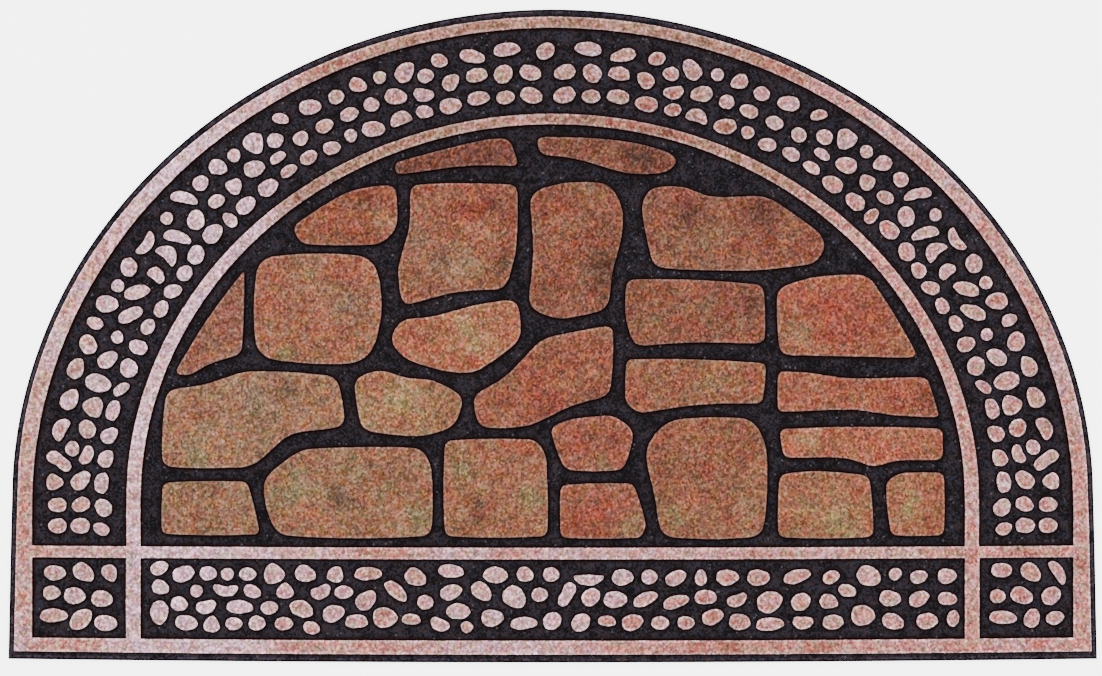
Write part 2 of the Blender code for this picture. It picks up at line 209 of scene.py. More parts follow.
def without_short_edges(loop):
    far = np.linalg.norm(np.roll(loop, -1, axis=0) - loop, axis=1) > SHORT_EDGE
    return loop[far]


def drift(x, y, size, layer=0.0):
    """A value from about -1 to 1 that changes over a size, in one layer of the noise."""
    return noise.noise(Vector((x / size, y / size, layer)))


def blurred(values):
    """Each value along a closed outline, evened out with the two beside it."""
    return (np.roll(values, 1) + 2 * values + np.roll(values, -1)) / 4


def travelled(points):
    """How far along a run of points each of them lies."""
    return np.r_[0, np.cumsum(np.linalg.norm(np.diff(points, axis=0), axis=1))]


def smooth(loop, step, corner=None):
    """The outline as an even run of points on a smooth curve through its corners.

    A pebble's curve is tighter at its corners and flatter between them.
    """
    loop = without_short_edges(loop)
    ahead = np.roll(loop, -1, axis=0) - loop
    length = np.linalg.norm(ahead, axis=1)
    way = ahead / length[:, None]
    came, pull = np.roll(way, 1, axis=0), np.minimum(length, LONGEST_PULL)
    tangent = came * np.roll(pull, 1)[:, None] + way * pull[:, None]
    tangent /= np.linalg.norm(tangent, axis=1)[:, None]
    if abs(area(loop)) < FLAGSTONE_AREA:
        tangent *= PEBBLE_ROUNDING
    turn = np.degrees(np.arccos(np.clip((came * way).sum(1), -1, 1)))
    sharp = turn > (corner if corner else 180.0)
    leaving = np.where(sharp[:, None], way, tangent)
    arriving = np.where(sharp[:, None], came, tangent)
    curve = []
    for i in range(len(loop)):
        j = (i + 1) % len(loop)
        t = np.linspace(0, 1, SPAN_POINTS, endpoint=False)[:, None]
        curve.append(
            loop[i] * (2 * t**3 - 3 * t**2 + 1)
            + leaving[i] * length[i] * (t**3 - 2 * t**2 + t)
            + loop[j] * (3 * t**2 - 2 * t**3)
            + arriving[j] * length[i] * (t**3 - t**2)
        )
    return evenly(curve, sharp, step)


def evenly(spans, sharp, step):
    """Points a step apart along spans of curve, with one on every sharp corner."""
    starts = [i for i, is_sharp in enumerate(sharp) if is_sharp] or [0]
    points = []
    for index, start in enumerate(starts):
        end = starts[(index + 1) % len(starts)]
        count = (end - start) % len(spans) or len(spans)
        run = np.vstack([spans[(start + k) % len(spans)] for k in range(count)] + [spans[end][:1]])
        gone = travelled(run)
        places = np.linspace(0, gone[-1], max(FEWEST_STEPS, round(gone[-1] / step)) + 1)[:-1]
        if any(sharp):
            places = np.delete(places, (1, -1))
        points.append(np.c_[np.interp(places, gone, run[:, 0]), np.interp(places, gone, run[:, 1])])
    return np.vstack(points)


def eased(loop):
    """A stone's outline drawn in a little, and a pebble's with its own lumps and dents."""
    if abs(area(loop)) > FLAGSTONE_AREA:
        return loop - normals(loop) * STONE_INSET
    lumps = [LUMP * drift(x, y, LUMP_LENGTH, LUMP_LAYER) for x, y in loop]
    return loop + normals(loop) * np.minimum(np.array(lumps) - PEBBLE_INSET, -LEAST_INSET)[:, None]


def redrawn(outline, step, is_band):
    """The frame's outline as the scene has it: a band's keeps its corners, and others are eased."""
    return smooth(outline, step, BAND_CORNER) if is_band else eased(smooth(outline, step))


def normals(loop):
    """Normals out of the material on the loop's left, longer at a corner to keep its sides even."""
    ahead = np.roll(loop, -1, axis=0) - loop
    ahead /= np.linalg.norm(ahead, axis=1)[:, None]
    along = ahead + np.roll(ahead, 1, axis=0)
    along /= np.linalg.norm(along, axis=1)[:, None]
    longer = np.minimum(1 / np.maximum((along * ahead).sum(1), WELD), SHARPEST)
    return np.c_[along[:, 1], -along[:, 0]] * longer[:, None]


def room(loop, way, share=1.0):
    """What share of a move along each place's way the outline has room for, less at tight turns."""
    share = np.full(len(loop), share)
    ahead = np.roll(loop, -1, axis=0) - loop
    least = LEAST_STEP * (ahead * ahead).sum(1)
    for _ in range(MOVE_TRIES):
        moved = loop + way * share[:, None]
        crowded = ((np.roll(moved, -1, axis=0) - moved) * ahead).sum(1) < least
        if not crowded.any():
            break
        share[crowded | np.roll(crowded, 1)] *= MOVE_CUT
        share = blurred(share)
    return share


def perimeter(loop):
    return float(np.linalg.norm(np.roll(loop, -1, axis=0) - loop, axis=1).sum())


def clearances(loops):
    """For each outline, how far each of its places is from the other outlines."""
    samples = [(number, place) for number, loop in enumerate(loops) for place in sampled(loop)]
    tree = KDTree(len(samples))
    for index, (_, (x, y)) in enumerate(samples):
        tree.insert((x, y, 0), index)
    tree.balance()
    farthest = 2 * FOOT + STRIP / STRIP_SHARE
    gaps = []
    for number, loop in enumerate(loops):
        found = []
        for x, y in loop:
            near = tree.find_range((x, y, 0), farthest)
            others = [distance for _, index, distance in near if samples[index][0] != number]
            found.append(min(others, default=farthest))
        gap = np.array(found)
        gap = np.minimum(gap, np.minimum(np.roll(gap, 1), np.roll(gap, -1)))
        gaps.append(blurred(gap))
    return gaps


def sampled(loop):
    """Places close together along an outline."""
    closed = np.vstack([loop, loop[:1]])
    gone = travelled(closed)
    places = np.arange(0, gone[-1], SAMPLE_STEP)
    return zip(np.interp(places, gone, closed[:, 0]), np.interp(places, gone, closed[:, 1]))


def frayed(loop, salt):
    """The outline with the uneven edge of cut flock."""
    out = normals(loop)
    shift = [
        WANDER * drift(x, y, WANDER_LENGTH, salt)
        + FRAY * drift(x, y, FRAY_LENGTH, salt + FRAY_LAYER)
        for x, y in loop
    ]
    return loop + out * np.array(shift)[:, None]


# Meshes


def strength(places, blotches):
    """How far each place lies within the blotches of one tint, from 0 to 1."""
    total = np.zeros(len(places))
    for blotch in blotches:
        away = np.hypot(places[:, 0] - blotch.x, places[:, 1] - blotch.y)
        total += np.exp(-((away / blotch.size) ** 2))
    return np.minimum(total, 1.0)


def write_note(mesh, name, values):
    mesh.attributes.new(name, "FLOAT", "POINT").data.foreach_set("value", values)


class Mesh:
    """Vertices and faces of one piece as it is put together, in millimetres.

    Each vertex carries notes for the materials: how far it takes painted light (a painted highlight
    on a flock rim, painted shade at a wall's foot), how far the mixture of its fibres leans to
    khaki or tan, how bright it is and how far it is dulled.
    """

    def __init__(self):
        self.points, self.faces, self.tones = [], [], []
        self.notes = {"edge": [], "lean": [], "bright": [], "dull": []}
        self.lean, self.bright, self.dull = 0.0, 1.0, 0.0

    def add(self, points, edge=0.0):
        first = len(self.points)
        self.points.extend(points)
        for note, values in self.notes.items():
            values += [edge if note == "edge" else getattr(self, note)] * len(points)
        return list(range(first, len(self.points)))

    def face(self, corners, tone=0):
        self.faces.append(corners)
        self.tones.append(tone)

    def rings(self, loop, section, slender=False, spread=1.0):
        """The outline at each step of a cross-section.

        Its inner steps are drawn in where the outline turns tightly or, if asked, is slender. Its
        outer ones go out by a spread.
        """
        out = normals(loop)
        deepest = -min(ring.out for ring in section)
        share = min(1.0, SLENDER * abs(area(loop)) / perimeter(loop) / deepest) if slender else 1.0
        inward = out * room(loop, -out * deepest, share)[:, None]
        made = []
        for ring in section:
            moved = loop + (out * spread if ring.out > 0 else inward) * ring.out
            made.append(self.add([(x, y, ring.height) for x, y in moved], ring.edge))
        return made

    def wall(self, lower, upper, tone=0):
        for a, b, c, d in zip(lower, lower[1:] + lower[:1], upper[1:] + upper[:1], upper):
            self.face((a, b, c, d), tone)

    def object(self, name, materials, tints=()):
        mesh = bpy.data.meshes.new(name)
        mesh.from_pydata([(x * MM, y * MM, z * MM) for x, y, z in self.points], [], self.faces)
        for material in materials:
            mesh.materials.append(material)
        mesh.polygons.foreach_set("material_index", self.tones)
        for note, values in self.notes.items():
            write_note(mesh, note, values)
        for tint in tints:
            write_note(mesh, tint, strength(np.array(self.points), BLOTCHES[tint]))
        mesh.shade_smooth()
        piece = bpy.data.objects.new(name, mesh)
        bpy.context.scene.collection.objects.link(piece)
        return piece


def filled(mesh, rings, tone=0, spots=(), flip=False):
    """Triangles between rings of points that the mesh has already, and spots inside them."""
    flat, edges = [], []
    for ring in rings:
        first = len(flat)
        flat += ring
        edges += [(first + i, first + (i + 1) % len(ring)) for i in range(len(ring))]
    index = flat + mesh.add([(x, y, pile_height(x, y)) for x, y in spots])
    places = [Vector(mesh.points[i][:2]) for i in index]
    _, _, faces, origins, _, _ = delaunay_2d_cdt(places, edges, [], 0, WELD, True)
    faces = [[origins[i][0] for i in face] for face in faces]
    for face in within(faces, edges):
        mesh.face([index[i] for i in (reversed(face) if flip else face)], tone)


def within(faces, edges):
    """The triangles that lie inside an odd number of the loops that the edges make."""
    loops = {frozenset(edge) for edge in edges}
    owners = {}
    for number, face in enumerate(faces):
        for side in zip(face, face[1:] + face[:1]):
            owners.setdefault(frozenset(side), []).append(number)
    odd = {}
    for side, numbers in owners.items():
        if len(numbers) == 1:
            odd[numbers[0]] = side in loops
    reached = list(odd)
    while reached:
        number = reached.pop()
        face = faces[number]
        for side in map(frozenset, zip(face, face[1:] + face[:1])):
            for other in owners[side]:
                if other not in odd:
                    odd[other] = odd[number] != (side in loops)
                    reached.append(other)
    return [face for number, face in enumerate(faces) if odd[number]]


def inner_spots(loop, chance):
    """Scattered spots inside an outline, clear of its edge."""
    low, high = loop.min(0), loop.max(0)
    spots = []
    for row, y in enumerate(np.arange(low[1], high[1], PILE_STEP * ROW_PITCH)):
        for x in np.arange(low[0] + (row % 2) * PILE_STEP / 2, high[0], PILE_STEP):
            stray = [chance.uniform(-1, 1) * PILE_STEP * SPOT_JITTER for _ in range(2)]
            spot = np.array((x, y)) + stray
            clear = np.min(np.linalg.norm(loop - spot, axis=1)) > PILE_STEP * EDGE_MARGIN
            if clear and inside(loop, spot):
                spots.append(tuple(spot))
    return spots


def inside(loop, spot):
    x, y = loop[:, 0], loop[:, 1]
    next_x, next_y = np.roll(x, -1), np.roll(y, -1)
    spans = (y > spot[1]) != (next_y > spot[1])
    with np.errstate(divide="ignore", invalid="ignore"):
        crossing = x + (spot[1] - y) / (next_y - y) * (next_x - x)
    return bool(np.sum(spans & (crossing > spot[0])) % 2)


def pile_height(x, y):
    """The top of the flock, which swells and sinks a little."""
    return PILE_TOP + PILE_SWELL * drift(x, y, PILE_SWELL_LENGTH)


def flock_cap(mesh, outlines, salt, chance, spots=True):
    """A crowned cap of flock over one raised shape, whose further outlines are its holes."""
    feet, tops = [], []
    for outline in outlines:
        loop = frayed(redrawn(outline, FLOCK_STEP, is_band=len(outlines) > 1), salt)
        rings = mesh.rings(loop, FLOCK_CAP, slender=True)
        for lower, upper in zip(rings, rings[1:]):
            mesh.wall(lower, upper)
        feet.append(rings[0])
        tops.append(rings[-1])
    inner = inner_spots(smooth(outlines[0], PILE_STEP), chance) if spots else ()
    filled(mesh, tops, spots=inner)
    filled(mesh, feet, flip=True)


# Materials

# The colours of the fibres, in the order that the drifting mixture runs through them
FIBRES = (
    (0.0, (150, 58, 46)),
    (0.3, (147, 72, 55)),
    (0.6, (140, 87, 62)),
    (0.85, (130, 98, 66)),
    (1.0, (120, 101, 64)),
)
PALE_FIBRES = (
    (0.0, (226, 176, 202)),
    (0.3, (218, 154, 164)),
    (0.55, (210, 140, 132)),
    (0.8, (188, 130, 108)),
    (1.0, (166, 120, 94)),
)

# The colours that are blended in
CORAL = (188, 98, 86)
OLIVE = (112, 100, 80)
DULL = (118, 100, 98)
GOLD = (158, 106, 30)
SAGE = (182, 166, 134)
# Painted highlights on the rims of the flock caps
STONE_RIM_HIGHLIGHT = (196, 164, 158)
PALE_RIM_HIGHLIGHT = (250, 226, 236)
# Painted shade at the foot of each wall
FOOT_SHADE = (25, 3, 3)
RUBBER_HUES = ((0.3, (226, 238, 255)), (0.7, (255, 238, 226)))
SPECK = (112, 104, 112)

TUFT = 1.45  # how wide the tip of one tuft of fibre is
TIP_LIGHT = 0.010  # the most that a tip adds to the colour or takes from it
STONE_RIM_HIGHLIGHT_SHARE = 0.20  # how much of its painted highlight colour the rim of a flagstone's cap takes on
SPECKS_ABOVE = 0.992  # the cells whose value is above this are specks of pale fibre
NOISE_WAY = (1.0, 0.7, 1.3)
CELL_WAY = (1.0, -1.0, 1.0)

# The finishes: each bump is its depth and its strength
FLOCK_ROUGHNESS = 0.95
FLOCK_GLOSS = 0.12
FLOCK_SHEEN = 0.18
SHEEN_ROUGHNESS = 0.6
FLOCK_BUMP = (0.35, 0.6)
RUBBER_ROUGHNESS = 0.68
GRAIN_ROUGHNESS = 0.25  # what the rubber's grain adds to its roughness
RUBBER_BUMP = (0.3, 0.5)


def linear(colour):
    """A display colour of 0 to 255 as a linear one."""
    parts = [part / 255 for part in colour]
    return [part / 12.92 if part <= 0.04045 else ((part + 0.055) / 1.055) ** 2.4 for part in parts]


class Shading:
    """One material and its nodes, whose patterns have their sizes in millimetres."""

    def __init__(self, name):
        self.material = bpy.data.materials.new(name)
        self.material.use_nodes = True
        self.nodes, self.links = self.material.node_tree.nodes, self.material.node_tree.links
        self.shader = self.nodes["Principled BSDF"]
        self.place = self.nodes.new("ShaderNodeTexCoord").outputs["Object"]

    def feed(self, socket, value):
        """Give a socket a number, a colour or what another node puts out."""
        if isinstance(value, (int, float)):
            socket.default_value = value
        elif isinstance(value, tuple):
            socket.default_value = (*linear(value), 1)
        else:
            self.links.new(value, socket)

    def shifted(self, shift, way):
        """The places moved by shift along a way, so that no two patterns line up."""
        made = self.nodes.new("ShaderNodeMapping")
        made.inputs["Location"].default_value = [shift * part for part in way]
        self.links.new(self.place, made.inputs["Vector"])
        return made.outputs["Vector"]

    def noise(self, size, detail=2.0, rough=0.5, shift=0.0):
        """A noise whose features are about size across."""
        made = self.nodes.new("ShaderNodeTexNoise")
        made.inputs["Scale"].default_value = 1 / (size * MM)
        made.inputs["Detail"].default_value = detail
        made.inputs["Roughness"].default_value = rough
        self.links.new(self.shifted(shift, NOISE_WAY), made.inputs["Vector"])
        return made.outputs["Fac"]

    def cells(self, size, shift):
        """Two random values for each cell about size across, as at the tips of single tufts."""
        made = self.nodes.new("ShaderNodeTexVoronoi")
        made.inputs["Scale"].default_value = 1 / (size * MM)
        self.links.new(self.shifted(shift, CELL_WAY), made.inputs["Vector"])
        split = self.nodes.new("ShaderNodeSeparateColor")
        self.links.new(made.outputs["Color"], split.inputs["Color"])
        return split.outputs["Red"], split.outputs["Green"]

    def note(self, name):
        """A value that the mesh carries at its vertices."""
        made = self.nodes.new("ShaderNodeAttribute")
        made.attribute_name = name
        return made.outputs["Fac"]

    def compute(self, operation, *values):
        made = self.nodes.new("ShaderNodeMath")
        made.operation = operation
        for socket, value in zip(made.inputs, values):
            self.feed(socket, value)
        return made.outputs["Value"]

    def total(self, *terms, start=0.0):
        """start plus each value times its weight."""
        for value, weight in terms:
            start = self.compute("MULTIPLY_ADD", value, weight, start)
        return start

    def grained(self, mean, shade, *terms):
        """A brightness that shade and the terms, which lie about 0.5, change by even factors."""
        centred = self.total(*terms, start=-0.5 * sum(weight for _, weight in terms))
        factor = self.compute("POWER", math.e, self.compute("ADD", centred, shade))
        return self.compute("MULTIPLY", factor, mean)

    def ramp(self, value, stops):
        """A colour for each value, from stops of (position, colour)."""
        made = self.nodes.new("ShaderNodeValToRGB")
        elements = made.color_ramp.elements
        while len(elements) < len(stops):
            elements.new(0.5)
        for element, (position, colour) in zip(elements, stops):
            element.position = position
            element.color = (*linear(colour), 1)
        self.links.new(value, made.inputs["Fac"])
        return made.outputs["Color"]

    def blend(self, how, first, second, amount=1.0):
        """Two colours blended by an amount, which the node holds between 0 and 1."""
        made = self.nodes.new("ShaderNodeMix")
        made.data_type, made.blend_type = "RGBA", how
        colours = [socket for socket in made.inputs if socket.type == "RGBA"]
        for socket, value in zip((*colours, made.inputs["Factor"]), (first, second, amount)):
            self.feed(socket, value)
        return next(socket for socket in made.outputs if socket.type == "RGBA")

    def grey(self, value):
        made = self.nodes.new("ShaderNodeCombineColor")
        for part in ("Red", "Green", "Blue"):
            self.links.new(value, made.inputs[part])
        return made.outputs["Color"]

    def shaded(self, colour, brightness, tips):
        """The colour made darker or lighter by a factor, with the pale tips of single tufts."""
        colour = self.blend("MULTIPLY", colour, self.grey(brightness))
        light = self.total((tips, 2 * TIP_LIGHT), start=-TIP_LIGHT)
        return self.blend("ADD", colour, self.grey(light))

    def bump(self, height, depth, amount):
        made = self.nodes.new("ShaderNodeBump")
        made.inputs["Strength"].default_value = amount
        made.inputs["Distance"].default_value = depth * MM
        self.links.new(height, made.inputs["Height"])
        self.links.new(made.outputs["Normal"], self.shader.inputs["Normal"])

    def flock(self, colour):
        """The material in a colour, with the soft, matt finish of short pile."""
        self.links.new(colour, self.shader.inputs["Base Color"])
        self.shader.inputs["Roughness"].default_value = FLOCK_ROUGHNESS
        self.shader.inputs["Specular IOR Level"].default_value = FLOCK_GLOSS
        self.shader.inputs["Sheen Weight"].default_value = FLOCK_SHEEN
        self.shader.inputs["Sheen Roughness"].default_value = SHEEN_ROUGHNESS
        self.bump(self.noise(0.8, rough=0.6), *FLOCK_BUMP)
        return self.material


def stone_flock(name):
    """Mixed fibres of the flagstones: tufts whose colours drift from rust to khaki."""
    look = Shading(name)
    tuft, tips = look.cells(TUFT, shift=2.0)
    fine = look.noise(1.9, detail=1.0, shift=0.3)
    patch = look.noise(5.5, detail=0.3, shift=1.6)
    cloud = look.noise(15.0, rough=0.6, shift=0.6)
    khaki, dark = look.note("khaki"), look.note("dark")
    mixture = look.total(
        (look.note("lean"), 1.0),
        (tuft, 0.06),
        (patch, 0.65),
        (cloud, 0.78),
        (khaki, 0.32),
        (look.note("red"), -0.22),
        start=-0.745,
    )
    colour = look.ramp(mixture, FIBRES)
    speckle = look.noise(3.0, detail=3.0, rough=0.7, shift=8.0)
    olive = look.compute("MULTIPLY", look.note("grey"), speckle)
    colour = look.blend("MIX", colour, OLIVE, olive)
    mauve = look.noise(6.5, detail=0.5, shift=3.7)
    dull = look.total((look.note("dull"), 1.0), (mauve, 0.62), (dark, 0.10), start=-0.24)
    colour = look.blend("MIX", colour, DULL, dull)
    gold = look.total((mauve, -0.62), start=0.32)
    colour = look.blend("MIX", colour, GOLD, gold)
    # The rim of the cap takes a painted highlight
    edge = look.compute("MULTIPLY", look.note("edge"), STONE_RIM_HIGHLIGHT_SHARE)
    colour = look.blend("MIX", colour, STONE_RIM_HIGHLIGHT, edge)
    shade_patch = look.noise(5.0, shift=5.0)
    shade_cloud = look.noise(20.0, detail=3.0, rough=0.6, shift=4.0)
    grain = ((tips, 1.1), (fine, 2.0), (shade_patch, 0.8), (shade_cloud, 1.0))
    shade = look.total((dark, -0.62), (khaki, 0.14))
    brightness = look.grained(look.note("bright"), shade, *grain)
    return look.flock(look.shaded(colour, brightness, tips))


def pale_flock(name, rim_highlight_share, tan_tint, tan_shade):
    """The pale flock of the bands and pebbles, which drifts from lavender through rose to tan."""
    look = Shading(name)
    tuft, tips = look.cells(TUFT, shift=5.0)
    fine = look.noise(1.9, detail=1.0, shift=1.3)
    patch = look.noise(5.5, detail=0.3, shift=6.6)
    cloud = look.noise(30.0, detail=3.0, rough=0.6, shift=2.6)
    tan, lavender, edge = look.note("tan"), look.note("lavender"), look.note("edge")
    mixture = look.total(
        (tuft, 0.06),
        (patch, 1.05),
        (cloud, 1.10),
        (tan, tan_tint),
        (lavender, -0.30),
        (look.note("lean"), 1.0),
        start=-0.93,
    )
    colour = look.ramp(mixture, PALE_FIBRES)
    warmth = look.noise(12.0, detail=3.0, rough=0.6, shift=7.0)
    coral = look.total((warmth, 1.2), (look.note("coral"), 0.55), start=-0.47)
    colour = look.blend("MIX", colour, CORAL, coral)
    drab = look.noise(5.5, detail=0.5, shift=9.4)
    dull = look.note("dull")
    sage = look.total((drab, 1.7), (dull, 1.0), (look.note("sage"), 0.14), start=-0.72)
    colour = look.blend("MIX", colour, SAGE, sage)
    # The rim of the cap takes a painted highlight in its colour
    colour = look.blend("MIX", colour, PALE_RIM_HIGHLIGHT, look.compute("MULTIPLY", edge, rim_highlight_share))
    shade_patch = look.noise(4.5, shift=5.0)
    grain = ((tips, 1.2), (fine, 2.25), (shade_patch, 0.9))
    shade = look.total(
        (tan, tan_shade),
        (lavender, 0.10),
        # the painted highlight on the cap's rim also brightens it
        (edge, 0.14),
        (look.note("dim"), -0.20),
        (look.note("glow"), 0.10),
    )
    brightness = look.grained(look.note("bright"), shade, *grain)
    return look.flock(look.shaded(colour, brightness, tips))


def rubber(name, dark, light, specks=0.0, gloss=0.0):
    """Moulded crumb rubber, which may have a faint dust of pale fibre in it."""
    look = Shading(name)
    grain = look.noise(1.6)
    cloud = look.noise(9.0, detail=3.0, rough=0.6, shift=3.0)
    fibre, crumb = look.cells(1.2, shift=4.0)
    dull = look.note("dull")
    value = look.total((grain, 1.7), (cloud, 1.7), (crumb, 0.8), (dull, -0.09), start=-1.62)
    colour = look.ramp(value, ((0.15, dark), (0.85, light)))
    hue = look.ramp(look.noise(5.5, detail=0.5, shift=6.0), RUBBER_HUES)
    colour = look.blend("MULTIPLY", colour, hue)
    # Painted shade darkens the ground and walls towards each wall's foot
    colour = look.blend("MIX", colour, FOOT_SHADE, look.note("edge"))
    if specks:
        speck = look.compute("GREATER_THAN", fibre, SPECKS_ABOVE)
        colour = look.blend("MIX", colour, SPECK, look.compute("MULTIPLY", speck, specks))
    look.links.new(colour, look.shader.inputs["Base Color"])
    rough = look.total((grain, GRAIN_ROUGHNESS), start=RUBBER_ROUGHNESS)
    look.links.new(rough, look.shader.inputs["Roughness"])
    look.shader.inputs["Specular IOR Level"].default_value = gloss
    look.bump(grain, *RUBBER_BUMP)
    return look.material


# The tints of single places

# Each flagstone, by where its middle lies from the mat's own middle: how far its mixture leans from
# rust to khaki, how bright it is and how far it is dulled
Stone = namedtuple("Stone", "name x y lean bright dull")
STONES = (
    Stone("crown_left", -61, 125, 0.35, 0.53, 0.14),
    Stone("crown_right", 34, 126, 0.41, 0.60, 0.10),
    Stone("left_wedge", -139, 81, 0.41, 0.745, 0.0),
    Stone("left_block", -68, 60, 0.50, 0.81, 0.01),
    Stone("tall", 15, 59, 0.44, 0.71, 0.04),
    Stone("right_shoulder", 122, 76, 0.44, 0.725, 0.06),
    Stone("left_shard", -238, -4, 0.44, 0.79, 0.17),
    Stone("left_square", -160, 14, 0.53, 0.94, 0.03),
    Stone("middle_left", -68, 0, 0.47, 1.06, -0.06),
    Stone("right_brick", 94, 12, 0.46, 0.705, 0.05),
    Stone("right_gable", 196, 12, 0.44, 0.92, -0.01),
    Stone("left_slab", -209, -57, 0.70, 1.04, 0.09),
    Stone("left_cobble", -101, -45, 0.66, 1.03, -0.04),
    Stone("diagonal", -7, -31, 0.46, 0.79, 0.01),
    Stone("right_strip", 93, -38, 0.52, 0.825, -0.02),
    Stone("far_strip", 210, -40, 0.40, 0.98, -0.02),
    Stone("far_ledge", 219, -80, 0.40, 1.01, -0.06),
    Stone("small_cobble", 30, -73, 0.42, 0.85, 0.02),
    Stone("foot_1", -241, -120, 0.71, 0.86, 0.09),
    Stone("foot_2", -148, -107, 0.67, 0.945, 0.05),
    Stone("foot_3", -36, -103, 0.59, 0.925, 0.0),
    Stone("foot_4", 38, -124, 0.46, 0.835, 0.02),
    Stone("foot_5", 103, -95, 0.52, 0.79, -0.01),
    Stone("foot_6", 189, -115, 0.60, 1.0, -0.06),
    Stone("foot_7", 252, -115, 0.50, 1.02, -0.06),
)

# Where the flock leans to a tint or, for dark, dim and glow, to a shade: the middle of each blotch
# and its reach
Blotch = namedtuple("Blotch", "x y size")
BLOTCHES = {
    "khaki": (
        Blotch(-55, 50, 11),
        Blotch(-122, 82, 11),
        Blotch(-170, 45, 7),
        Blotch(-190, -12, 8),
        Blotch(-222, -11, 7),
        Blotch(-58, 2, 15),
        Blotch(-104, -44, 13),
        Blotch(-128, -57, 9),
        Blotch(-248, -80, 11),
        Blotch(-185, -108, 11),
        Blotch(-97, -130, 14),
        Blotch(-62, -96, 11),
        Blotch(-16, -112, 8),
        Blotch(22, 104, 8),
        Blotch(80, 56, 10),
        Blotch(110, 70, 9),
        Blotch(74, 12, 8),
        Blotch(172, 3, 10),
        Blotch(112, -31, 14),
        Blotch(178, -73, 9),
        Blotch(34, -88, 9),
        Blotch(54, -133, 9),
        Blotch(136, -116, 13),
        Blotch(82, -126, 10),
        Blotch(200, -126, 15),
        Blotch(251, -116, 11),
    ),
    "grey": (
        Blotch(-76, 48, 15),
        Blotch(-96, 70, 10),
        Blotch(-143, 22, 13),
        Blotch(-210, -42, 12),
        Blotch(-150, -112, 9),
    ),
    "dark": (
        Blotch(-40, 91, 6),
        Blotch(-34, 48, 9),
        Blotch(36, 50, 13),
        Blotch(96, 86, 11),
        Blotch(146, 88, 11),
        Blotch(138, 23, 8),
        Blotch(-186, -36, 9),
        Blotch(-50, -126, 9),
        Blotch(264, -44, 9),
        Blotch(-150, -112, 7),
        Blotch(62, 125, 12),
    ),
    "red": (
        Blotch(-52, 98, 20),
        Blotch(-145, 48, 11),
        Blotch(-122, -34, 9),
        Blotch(-22, -80, 10),
        Blotch(-5, -45, 22),
        Blotch(140, -34, 8),
        Blotch(60, -34, 9),
        Blotch(200, 18, 24),
        Blotch(92, 100, 12),
        Blotch(20, -76, 12),
        Blotch(30, -122, 14),
        Blotch(212, -110, 8),
    ),
    "tan": (
        Blotch(0, 219, 62),
        Blotch(-100, 206, 36),
        Blotch(96, 206, 40),
        Blotch(-94, 142, 40),
        Blotch(-146, 118, 30),
        Blotch(-172, 100, 26),
        Blotch(-155, 189, 14),
        Blotch(156, 187, 24),
        Blotch(52, 146, 40),
        Blotch(30, 150, 34),
        Blotch(92, 140, 44),
        Blotch(150, 114, 38),
        Blotch(50, 184, 44),
        Blotch(-60, 182, 36),
        Blotch(120, -221, 22),
        Blotch(185, -221, 12),
        Blotch(328, -152, 9),
    ),
    "dim": (
        Blotch(80, 142, 22),
        Blotch(28, 150, 20),
        Blotch(-167, 104, 18),
    ),
    "glow": (
        Blotch(-215, 157, 26),
        Blotch(-260, 121, 30),
        Blotch(-302, 76, 34),
        Blotch(-336, 22, 30),
        Blotch(-284, -45, 24),
        Blotch(-270, -151, 20),
        Blotch(-330, -216, 22),
    ),
    "sage": (
        Blotch(-345, -60, 60),
        Blotch(-330, -185, 40),
    ),
    "lavender": (
        Blotch(-262, 120, 50),
        Blotch(-225, 60, 50),
        Blotch(-265, 0, 50),
        Blotch(-290, -75, 24),
        Blotch(-245, -158, 44),
        Blotch(-240, -205, 52),
        Blotch(-180, -180, 34),
        Blotch(-270, -217, 26),
        Blotch(-270, -151, 24),
        Blotch(0, -196, 30),
    ),
    "coral": (
        Blotch(-372, -130, 50),
        Blotch(-120, -222, 26),
        Blotch(-158, 190, 26),
        Blotch(-342, -216, 26),
        Blotch(40, -218, 26),
        Blotch(95, -218, 30),
        Blotch(270, -216, 30),
        Blotch(350, -152, 26),
        Blotch(-120, -152, 26),
        Blotch(-20, -152, 24),
        Blotch(205, 160, 28),
        Blotch(158, 190, 26),
        Blotch(302, 75, 24),
        Blotch(258, 118, 20),
        Blotch(288, -62, 34),
        Blotch(270, -10, 34),
        Blotch(240, 37, 34),
        Blotch(200, 76, 30),
        Blotch(52, 150, 34),
        Blotch(84, 142, 30),
        Blotch(70, -222, 30),
        Blotch(130, -216, 34),
        Blotch(210, -222, 44),
        Blotch(330, -222, 60),
        Blotch(372, -140, 50),
        Blotch(345, -80, 34),
        Blotch(340, 20, 34),
        Blotch(290, -150, 26),
        Blotch(205, 80, 30),
        Blotch(125, -180, 34),
        Blotch(175, -184, 36),
        Blotch(-180, -186, 32),
        Blotch(-110, -184, 28),
        Blotch(-180, -218, 22),
        Blotch(330, -60, 28),
    ),
}
STONE_TINTS = ("khaki", "grey", "dark", "red")
BORDER_TINTS = ("tan", "dim", "glow", "sage", "lavender", "coral")


# Pieces


def sorted_outlines():
    """The band's outlines, the flagstones' and the pebbles', from the node's top faces."""
    loops = flat_loops(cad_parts[NODE].data, TOP)
    band = max(loops, key=area)
    holes = [loop for loop in loops if area(loop) < 0]
    solid = [loop for loop in loops if area(loop) > 0 and loop is not band]
    flagstones = [loop for loop in solid if area(loop) > FLAGSTONE_AREA]
    pebbles = [loop for loop in solid if area(loop) <= FLAGSTONE_AREA]
    return [band] + holes, flagstones, pebbles


def underside_outline():
    """The outline of the node's underside."""
    loops = flat_loops(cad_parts[NODE].data, UNDERSIDE)
    return max(loops, key=lambda loop: abs(area(loop)))


